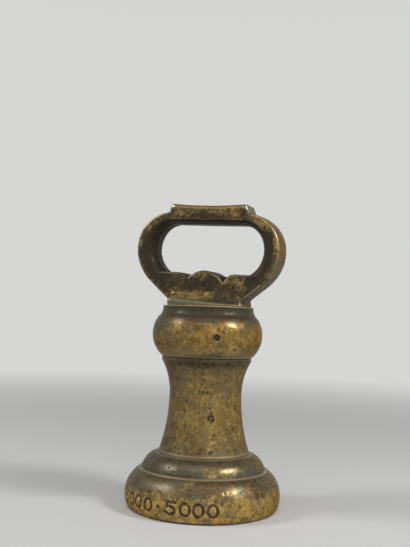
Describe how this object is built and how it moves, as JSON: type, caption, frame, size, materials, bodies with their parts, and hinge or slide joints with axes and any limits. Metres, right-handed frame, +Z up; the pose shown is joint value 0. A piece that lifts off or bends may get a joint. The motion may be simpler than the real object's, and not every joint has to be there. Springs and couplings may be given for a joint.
{
  "type": "bell weight",
  "caption": "Bell-shaped brass counter weight with a waisted column, a stepped round base, a bulbous neck and a fixed loop handle, holding a lead core and a screwed adjusting plug underneath",
  "frame": {"origin": "centre of the base's underside, on the axis of the turned pieces", "axes": "+Z up along the turned axis, +X along the handle's length to the right as seen from the front, -Y the front of the handle"},
  "size_m": [0.106, 0.106, 0.2071],
  "materials": {
    "base_brass": "rubbed golden brown along the lower edge, grey-brown patina on the shoulder",
    "dark_brass": "dark grey-brown patina, rubbed on its edges",
    "column_brass": "golden brown with many small dark pits",
    "bulb_brass": "rubbed golden brown belly under a grey-brown neck",
    "handle_brass": "dark brown cast metal, rubbed to gold on the grip and the outer edges, grey-green inside the loop",
    "plug_brass": "turned face, dulled",
    "lead": "dull grey lead",
    "leather": "waxed brown leather"
  },
  "bodies": {
    "weight": {"handle": "handle_brass", "lock_pin": "dark_brass", "bulb": "bulb_brass", "column": "column_brass", "seal_plug": "lead", "foot_ring": "dark_brass", "base_drum": "base_brass", "lead_core": "lead"},
    "ballast": {"sealing_disc": "leather", "adjusting_shot": "lead"},
    "plug": {"adjusting_plug": "plug_brass"}
  },
  "joints": [
    {"name": "plug_travel", "type": "slide", "parent": "weight", "child": "ballast", "axis": [0, 0, -1], "range_m": [0, 0.006]},
    {"name": "plug_turn", "type": "hinge", "parent": "ballast", "child": "plug", "pos_m": [0, 0, 0.0106], "axis": [0, 0, -1], "range_deg": [0, 1080]}
  ],
  "couplings": [
    {"joint": "plug_turn", "follows": "plug_travel", "rad_per_m": 3141.5}
  ]
}
